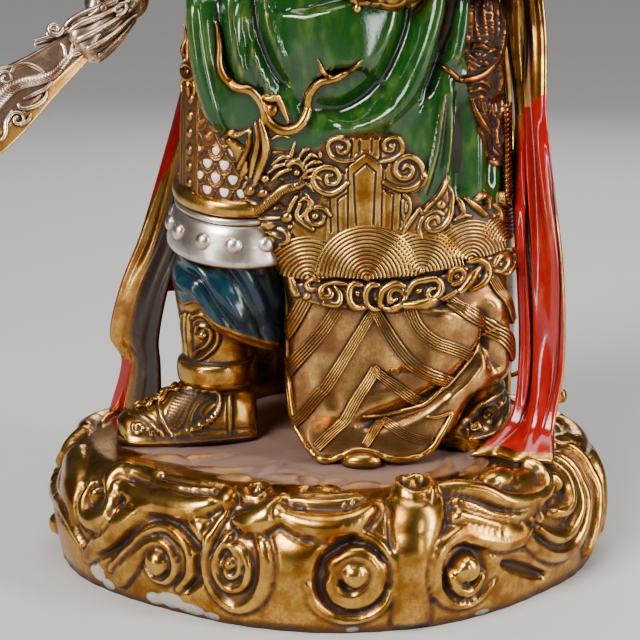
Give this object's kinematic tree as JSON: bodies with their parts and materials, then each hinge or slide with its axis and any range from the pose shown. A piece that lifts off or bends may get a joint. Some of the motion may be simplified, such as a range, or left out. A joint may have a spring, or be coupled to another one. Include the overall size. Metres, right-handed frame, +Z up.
{
  "type": "guan yu statue",
  "caption": "Cast brass figure of a bearded general in a long robe and cape, standing on a cloud plinth with a crescent-bladed glaive held behind the back.",
  "frame": {"origin": "middle of the plinth's flat underside, on the surface that the statue stands on", "axes": "+Z up, the figure faces -Y, +X is the figure's left"},
  "size_m": [0.288, 0.2262, 0.402],
  "materials": {
    "cast_brass": "antique gold with dark patina",
    "blackened_brass": "darkened, with rubbed relief and a bright edge",
    "silvered_brass": "silvered, with brown shading",
    "green_enamel": "glossy cold enamel, rubbed to brass on the ridges",
    "red_enamel": "glossy cold enamel",
    "blue_enamel": "glossy cold enamel"
  },
  "bodies": {
    "root": {"statue_casting": "cast_brass", "glaive": "blackened_brass"}
  },
  "joints": []
}
